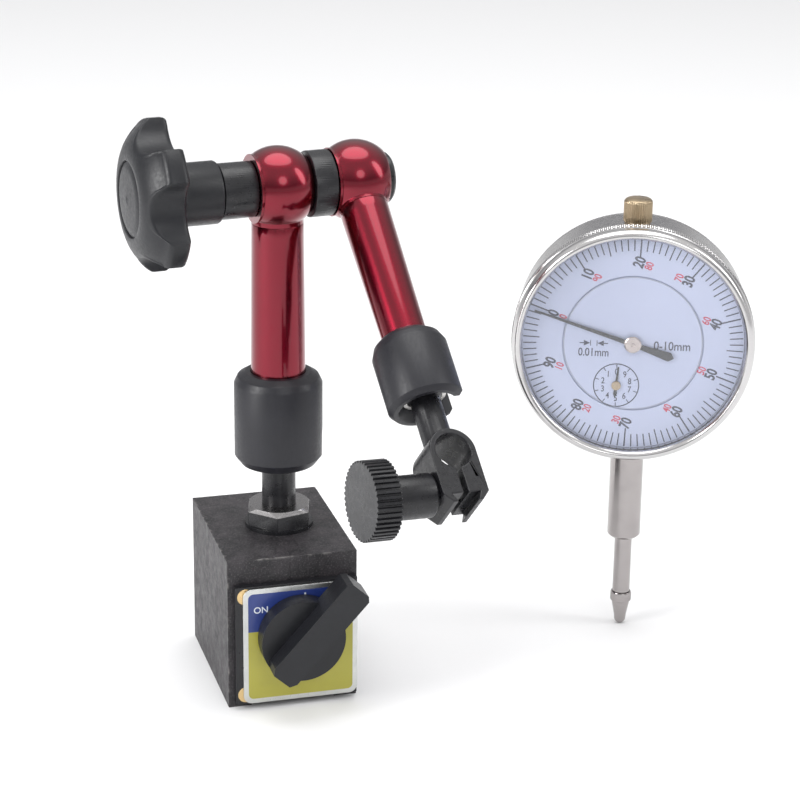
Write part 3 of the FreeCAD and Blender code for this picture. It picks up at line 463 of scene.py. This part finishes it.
def hoop(shape, radius, width, low, high, centre=(0, 0)):
    """Adds one thin flat ring, with its middle line at the radius."""
    count = 128
    rings = []
    for reach, height in ((radius - width / 2, low), (radius + width / 2, low),
                          (radius + width / 2, high), (radius - width / 2, high)):
        rings.append([shape.verts.new((centre[0] + reach * math.cos(math.tau * n / count),
                                       centre[1] + reach * math.sin(math.tau * n / count),
                                       height)) for n in range(count)])
    for ring, following in zip(rings, rings[1:] + rings[:1]):
        for n in range(count):
            after = (n + 1) % count
            shape.faces.new((ring[n], ring[after], following[after], following[n]))


def lettered(shape, words, tall, wide, at, bold, turn=0.0, low=INK_LOW, high=INK_HIGH):
    """Adds words whose digits are tall millimetres high, centred at a spot and turned. wide
    stretches them sideways and bold thickens their strokes."""
    curve = bpy.data.curves.new("letters", "FONT")
    curve.body = words
    curve.align_x = "CENTER"
    curve.align_y = "CENTER"
    curve.size = 1.0
    curve.offset = bold
    curve.extrude = 0.5
    curve.resolution_u = 6
    letters = bpy.data.objects.new("letters", curve)
    bpy.context.scene.collection.objects.link(letters)
    bpy.context.view_layer.update()
    mesh = bpy.data.meshes.new_from_object(letters.evaluated_get(
        bpy.context.evaluated_depsgraph_get()))
    digit_share = 0.7
    size = tall / digit_share
    placed = (Matrix.Translation((at[0], at[1], (low + high) / 2))
              @ Matrix.Rotation(turn, 4, "Z")
              @ Matrix.Diagonal((size * wide, size, high - low, 1)))
    mesh.transform(placed)
    shape.from_mesh(mesh)
    bpy.data.objects.remove(letters)
    bpy.data.curves.remove(curve)
    bpy.data.meshes.remove(mesh)


# ---------------------------------------------------------------------- the stand

# Each node's edge radius, and whether its sides are flat.
for name, edge_radius, flat in (
        ("left_pole", 0.35, True), ("right_pole", 0.35, True), ("upper_spacer", 0.08, True),
        ("front_plate", 0.25, True), ("label_plate", 0.12, True), ("plate_screws", 0.12, False),
        ("switch_knob", 0.5, True), ("lock_nut", 0.25, True), ("lower_ball_stud", 0.2, False),
        ("lower_sleeve", 0.9, False), ("lower_tube", 0.15, False), ("lower_housing", 0.2, False),
        ("left_bush", 0.25, False), ("centre_collar", 0.25, False), ("clamp_bolt", 0.25, False),
        ("knob_cap", 0.3, False), ("upper_sleeve", 0.8, False), ("upper_tube", 0.15, False),
        ("upper_housing", 0.2, False), ("upper_ball_cup", 0.12, False),
        ("clamp_body", 0.3, False), ("clamp_sleeve", 0.2, False), ("clamp_knob", 0.12, False),
        ("stem", 0.12, False), ("back_cover", 0.3, False)):
    softened(name, edge_radius, flat)


def star_knob():
    """The hand knob: a domed face, five lobes with deep hollows between them, and a bored hub."""
    turn = joints["star_knob_turn"]
    place = local_frame(turn["pos_m"], (0, 0, 1), turn["axis"])
    corners = [place.inverted() @ corner.co / MM
               for corner in frame["nodes"]["star_knob"].data.vertices]
    front, hub_end = min(v.z for v in corners), max(v.z for v in corners)
    outer = max(math.hypot(v.x, v.y) for v in corners)
    back = max(v.z for v in corners if math.hypot(v.x, v.y) > outer / 2)
    lobe_step, top_lobe = math.radians(72), math.radians(-19)
    notch, notch_reach, blend = 8.2, 21.0, 1.6
    face_edge, dome_rise, dome_power = 8.7, 5.9, 2.1
    cap_seat, seat_radius, seat_depth = 4.4, 8.42, 1.45
    edge_round, bore, bore_depth = 1.3, 4.52, 4.9

    def rim(angle):
        """The lobed outline's radius at an angle."""
        off = (angle - top_lobe) % lobe_step - lobe_step / 2
        if abs(off) >= math.asin(notch / notch_reach):
            hollow = outer + blend
        else:
            hollow = (notch_reach * math.cos(off)
                      - math.sqrt(notch ** 2 - (notch_reach * math.sin(off)) ** 2))
        near = max(blend - abs(outer - hollow), 0) / blend
        return min(outer, hollow) - near * near * blend / 4

    angles = [math.tau * n / 360 for n in range(360)]
    rims = [rim(angle) for angle in angles]

    def ring(radii, heights):
        """One ring of the skin, from the radius and the height at each angle."""
        return [(radius * math.cos(angle), radius * math.sin(angle), height)
                for angle, radius, height in zip(angles, radii, heights)]

    def round_ring(radius, height):
        return ring([radius] * len(angles), [height] * len(angles))

    def dome(radius):
        share = max(radius - face_edge, 0) / (outer - face_edge)
        return front + dome_rise * share ** dome_power

    rings = [round_ring(radius, front + depth) for radius, depth in (
        (cap_seat, seat_depth), (seat_radius, seat_depth), (seat_radius, 0.25), (8.55, 0.05),
        (face_edge, 0))]
    for share in (0.15, 0.3, 0.45, 0.6, 0.75, 0.9, 1):
        radii = [face_edge + (edge - edge_round - face_edge) * share for edge in rims]
        rings.append(ring(radii, [dome(radius) for radius in radii]))
    for inset, drop in ((0.8, 0.25), (0.38, 0.6), (0.1, 1.05), (0, 1.6)):
        rings.append(ring([edge - inset for edge in rims],
                          [dome(edge - edge_round) + drop for edge in rims]))
    for inset, rise in ((0, 1.3), (0.1, 0.8), (0.38, 0.35), (0.8, 0.08), (edge_round, 0)):
        rings.append(ring([edge - inset for edge in rims], [back - rise] * len(rims)))
    for radius, height in ((9, back), (8.4, back + 0.2), (7.6, back + 0.9), (7.15, back + 1.5),
                           (7, back + 2), (7, hub_end - 0.6), (6.8, hub_end - 0.2),
                           (6.4, hub_end), (bore, hub_end), (bore, front + bore_depth)):
        rings.append(round_ring(radius, height))
    stands_for(rings_mesh("star_knob_moulded", rings, place), "star_knob")


star_knob()


# ----------------------------------------------------------------------- the label

def rounded_outline(left, right, bottom, top, radius):
    """A rectangle's outline with round corners."""
    steps = 8
    corners = ((right, top, 0), (left, top, 1), (left, bottom, 2), (right, bottom, 3))
    outline = []
    for x, y, quarter in corners:
        centre_x = x - math.copysign(radius, x - (left + right) / 2)
        centre_y = y - math.copysign(radius, y - (bottom + top) / 2)
        for step in range(steps + 1):
            angle = (quarter + step / steps) * math.pi / 2
            outline.append((centre_x + radius * math.cos(angle),
                            centre_y + radius * math.sin(angle)))
    return outline


def label():
    """The printed field on the silver plate: blue above, yellow below, ON and a mark."""
    low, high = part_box("label_plate")[0] / MM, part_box("label_plate")[1] / MM
    front = local_frame(Vector((0, low.y, 0)) * MM, (1, 0, 0), (0, -1, 0))
    border, corner, blue_share, ink = 1.15, 1.2, 0.37, 0.04
    split = high.z - blue_share * (high.z - low.z)
    shaft = Vector(joints["magnet_switch"]["pos_m"]) / MM
    hole, steps = 4.0, 48
    outline = rounded_outline(low.x + border, high.x - border, low.z + border, high.z - border,
                              corner)
    shaft_hole = [(shaft.x + hole * math.cos(math.tau * n / steps),
                   shaft.z + hole * math.sin(math.tau * n / steps)) for n in range(steps)]
    for name, material, keep_above in (("label_blue", PRINT_BLUE, True),
                                       ("label_yellow", PRINT_YELLOW, False)):
        shape = bmesh.new()
        edges = []
        for loop in (outline, shaft_hole):
            ring = [shape.verts.new((x, y, 0)) for x, y in loop]
            edges += [shape.edges.new((ring[n], ring[(n + 1) % len(ring)]))
                      for n in range(len(ring))]
        bmesh.ops.triangle_fill(shape, edges=edges, use_beauty=True, use_dissolve=False)
        whole = shape.verts[:] + shape.edges[:] + shape.faces[:]
        bmesh.ops.bisect_plane(shape, geom=whole, plane_co=(0, split, 0), plane_no=(0, 1, 0),
                               clear_inner=keep_above, clear_outer=not keep_above)
        grown = bmesh.ops.extrude_face_region(shape, geom=shape.faces[:])
        raised = [v for v in grown["geom"] if isinstance(v, bmesh.types.BMVert)]
        bmesh.ops.translate(shape, vec=(0, 0, ink), verts=raised)
        on_body(made_piece(name, shape, front), "base", material)
    shape = bmesh.new()
    print_low, print_high = 0.03, 0.07
    lettered(shape, "ON", 1.5, 1.0, (low.x + 4.1, high.z - 5.2), 0.01, low=print_low,
             high=print_high)
    left, right, bottom, top = shaft.x + 1.1, shaft.x + 1.5, high.z - 3.6, high.z - 1.9
    prism(shape, [(left, bottom), (right, bottom), (right, top), (left, top)],
          print_low, print_high)
    on_body(made_piece("label_letters", shape, front), "base", INK_WHITE)


label()


# -------------------------------------------------------------------- the indicator

RING_TURN = 69.7
TICK_OUTER = 25.7
NUMBER_REACH = 19.9
REVERSED_DROP = 2.4


def scale_ring_print():
    """A hundred lines, black numbers one way round and small red ones the other. The ring is
    turned so that its zero is RING_TURN degrees anticlockwise from the top."""
    lines, black, red = bmesh.new(), bmesh.new(), bmesh.new()
    turn, step, narrow = math.radians(RING_TURN), 3.6, 0.74
    for mark in range(100):
        length, width = 3.1, 0.28
        if mark % 5 == 0:
            length = 3.8
        if mark % 10 == 0:
            length, width = 4.6, 0.34
        bar(lines, TICK_OUTER - length, TICK_OUTER, width, mark * step - RING_TURN)
    for mark in range(0, 100, 10):
        angle = math.radians(mark * step - RING_TURN)
        x, y = NUMBER_REACH * math.sin(angle), NUMBER_REACH * math.cos(angle)
        lettered(black, str(mark), 2.45, narrow, (x, y), 0.032, turn)
        side = -1 if math.cos(math.radians(mark * step)) > 0 else 1
        over = turned_about(0, side * REVERSED_DROP, turn)
        lettered(red, str((100 - mark) % 100), 1.8, narrow, (x + over[0], y + over[1]), 0.02, turn)
    for name, shape, ink in (("scale_lines", lines, INK_DARK), ("scale_numbers", black, INK_DARK),
                             ("reversed_numbers", red, INK_RED)):
        on_body(made_piece(name, shape, DIAL), "bezel", ink)


def facing_arrows(shape):
    """Two small arrows that point at each other, each with a line at its tip."""
    middle, gap, line, shaft_half = -9.2, 0.75, 0.18, 0.12
    low, centre, high = -0.85, -0.15, 0.55
    head, shaft_start, shaft_end = 1.5, 1.3, 2.5
    for side in (-1, 1):
        left = middle + side * gap
        prism(shape, [(left, low), (left + line, low), (left + line, high), (left, high)],
              INK_LOW, INK_HIGH)
        tip = left + (line if side > 0 else 0)
        prism(shape, [(tip, centre), (tip + side * head, low), (tip + side * head, high)][::side],
              INK_LOW, INK_HIGH)
        near, far = tip + side * shaft_start, tip + side * shaft_end
        bottom, top = centre - shaft_half, centre + shaft_half
        prism(shape, [(near, bottom), (far, bottom), (far, top), (near, top)][::side],
              INK_LOW, INK_HIGH)


def inner_print():
    """What is printed on the fixed disc: the range, the resolution and the small dial. A white
    ring behind hides the gap between the disc and the turning scale ring."""
    shape = bmesh.new()
    range_spot, resolution_spot = (9.2, -0.4), (-9.1, -2.5)
    lettered(shape, "0-10mm", 2.1, 0.86, range_spot, 0.012)
    lettered(shape, "0.01mm", 1.95, 0.8, resolution_spot, 0.01)
    facing_arrows(shape)
    centre = (SMALL_CENTRE.x, SMALL_CENTRE.y)
    small_radius, small_width = 5.3, 0.26
    line_inner, line_outer, line_width = 4.3, 5.2, 0.2
    digit_reach, digit_height, digit_step = 3.3, 1.5, -36
    hoop(shape, small_radius, small_width, INK_LOW, INK_HIGH, centre)
    for digit in range(10):
        turn = digit_step * digit
        bar(shape, line_inner, line_outer, line_width, turn, centre)
        angle = math.radians(turn)
        spot = (centre[0] + digit_reach * math.sin(angle),
                centre[1] + digit_reach * math.cos(angle))
        lettered(shape, str(digit), digit_height, 0.8, spot, 0.012)
    on_body(made_piece("inner_print", shape, DIAL), "indicator", INK_DARK)
    circle = bmesh.new()
    circle_radius, circle_width = 16.15, 0.16
    hoop(circle, circle_radius, circle_width, INK_LOW, INK_HIGH)
    on_body(made_piece("inner_circle", circle, DIAL), "indicator", INK_GREY)
    gap_radius, gap_width, gap_low, gap_high = 16.45, 1.5, 6.2, 6.4
    backing = bmesh.new()
    hoop(backing, gap_radius, gap_width, gap_low, gap_high)
    on_body(made_piece("ring_backing", backing, DIAL), "indicator",
            FINISHES["dial_white"].material)


def cross_knurl(depth, rows):
    """Radius changes of a knurl of small pyramids on the given rows."""
    def ripple(row, step):
        if row not in rows:
            return 0
        sunk = (step // 2 + rows.index(row) // 2) % 2
        return -depth if sunk else 0
    return ripple


def straight_knurl(depth, rows):
    """Radius changes of straight fine teeth on the given rows."""
    def ripple(row, step):
        return -depth if row in rows and step % 4 in (0, 1) else 0
    return ripple


def bezel():
    """The bezel: a bright chamfered ring in front of a fine knurled band."""
    behind = [(26.3, 4.5), (28.1, 4.5), (28.45, 4.65)]
    band = [(28.5, 4.9 + 0.3 * n) for n in range(8)]
    ahead = [(28.4, 7.25), (28.05, 7.45), (28.05, 7.7), (28.3, 7.95), (28.28, 9.1),
             (28.1, 9.6), (27.7, 10.2), (27.2, 10.55), (26.9, 10.58), (26.55, 10.4),
             (26.0, 9.62), (25.9, 9.4), (25.9, 9.25), (26.65, 9.25), (26.65, 8.15),
             (25.95, 8.15), (25.95, 6.35), (26.3, 6.35)]
    rows = list(range(len(behind), len(behind) + len(band)))
    piece = lathe("bezel_ring", behind + band + ahead, 720, DIAL, cross_knurl(0.22, rows))
    stands_for(piece, "bezel")


def knurled_ends():
    """The bored top cap and the contact's collar, both with straight fine teeth."""
    cap = lathe("top_cap_finished", [
        (0, 107), (2.3, 107), (2.3, 99.45), (3, 99.45), (3, 102.3), (3.1, 102.45), (3.3, 102.6),
        (3.35, 102.8), (3.35, 107.2), (3.3, 107.45), (3.05, 107.8), (2.7, 108), (0, 108)],
        160, SPINDLE, straight_knurl(0.13, (6, 7, 8, 9)))
    stands_for(cap, "top_cap")
    nose = 1.4
    curve = [(nose * math.sin(math.radians(a)), nose - nose * math.cos(math.radians(a)))
             for a in range(0, 91, 10)]
    collar = len(curve) + 7
    contact = lathe("contact_finished", curve + [
        (1.45, 2.2), (1.9, 4.5), (2.08, 5.4), (2.1, 5.6), (2.1, 6.05), (2.2, 6.15), (2.45, 6.25),
        (2.53, 6.4), (2.53, 8.25), (2.45, 8.4), (2.35, 8.58), (1.2, 8.58), (1.2, 12.4), (0, 12.4)],
        144, SPINDLE, straight_knurl(0.11, (collar, collar + 1)))
    stands_for(contact, "contact_point")


def small_dial_hub():
    """The brown boss at the middle of the small pointer."""
    matrix = DIAL @ Matrix.Translation(Vector((SMALL_CENTRE.x, SMALL_CENTRE.y, 0)) * MM)
    hub = lathe("small_hub", [(0, 7.2), (0.9, 7.2), (1.1, 7.28), (1.1, 7.4), (0.95, 7.48),
                              (0.35, 7.5), (0, 7.42)], 48, matrix)
    on_body(hub, "count_wheel", FINISHES["cap_brass"].material)


scale_ring_print()
inner_print()
bezel()
knurled_ends()
small_dial_hub()


# --------------------------------------------------------- floor, lights and camera

def stage():
    """A plain pale floor."""
    shape = bmesh.new()
    half_width = 6000
    shape.faces.new([shape.verts.new((x, y, 0)) for x, y in
                     ((-half_width, -half_width), (half_width, -half_width),
                      (half_width, half_width), (-half_width, half_width))])
    floor = made_piece("floor", shape)
    paper = Finish("pale_paper", (0.88, 0.88, 0.885), 0.75, specular=0.2)
    give(floor, paper.material)


def softbox(name, place, target, width, height, power):
    """An oval area light that faces the target. Lengths in metres, power in watts."""
    light = bpy.data.lights.new(name, "AREA")
    light.shape = "ELLIPSE"
    light.size = width
    light.size_y = height
    light.energy = power
    lamp = bpy.data.objects.new(name, light)
    bpy.context.scene.collection.objects.link(lamp)
    lamp.location = place
    lamp.rotation_euler = (Vector(target) - Vector(place)).to_track_quat("-Z", "Y").to_euler()


def lights():
    """Four soft boxes, and a pale room with a grey band above its walls."""
    middle = (0.03, 0, 0.06)
    softbox("left_box", (-0.82, -0.22, 0.42), middle, 0.34, 0.7, 6.0)
    softbox("right_box", (0.80, -0.30, 0.55), middle, 0.30, 0.7, 2.0)
    softbox("top_box", (0.05, 0.1, 0.95), middle, 0.9, 0.7, 4.5)
    softbox("front_box", (0.1, -1.1, 0.75), middle, 0.5, 0.5, 1.7)
    world = bpy.data.worlds.new("studio")
    bpy.context.scene.world = world
    world.use_nodes = True
    tree = world.node_tree
    background = tree.nodes["Background"]
    background.inputs["Strength"].default_value = 0.85
    spots = tree.nodes.new("ShaderNodeTexCoord")
    parts = tree.nodes.new("ShaderNodeSeparateXYZ")
    ramp = tree.nodes.new("ShaderNodeValToRGB")
    tree.links.new(spots.outputs["Generated"], parts.inputs["Vector"])
    tree.links.new(parts.outputs["Z"], ramp.inputs["Fac"])
    tree.links.new(ramp.outputs["Color"], background.inputs["Color"])
    stops = ramp.color_ramp.elements
    stops[0].position = 0.12
    stops[0].color = (0.85, 0.85, 0.86, 1)
    stops[1].position = 0.7
    stops[1].color = (1, 1, 1, 1)
    stops.new(0.2).color = (0.30, 0.30, 0.32, 1)


def camera():
    """The camera stands in front and to the left, and looks down at the object. Its place is
    in metres, and its lens and sensor in millimetres."""
    data = bpy.data.cameras.new("camera")
    data.lens = 111.5
    data.sensor_width = 36
    data.clip_start = 0.01
    data.clip_end = 50
    lens = bpy.data.objects.new("camera", data)
    bpy.context.scene.collection.objects.link(lens)
    place = Vector((-0.1171, -0.5201, 0.2573))
    right = Vector((0.96315, -0.26871, 0.01182)).normalized()
    ahead = Vector((0.25685, 0.90580, -0.33696)).normalized()
    lens.matrix_world = local_frame(place, right, -ahead)
    bpy.context.scene.camera = lens


stage()
lights()
camera()
bpy.context.scene.view_settings.view_transform = "Standard"
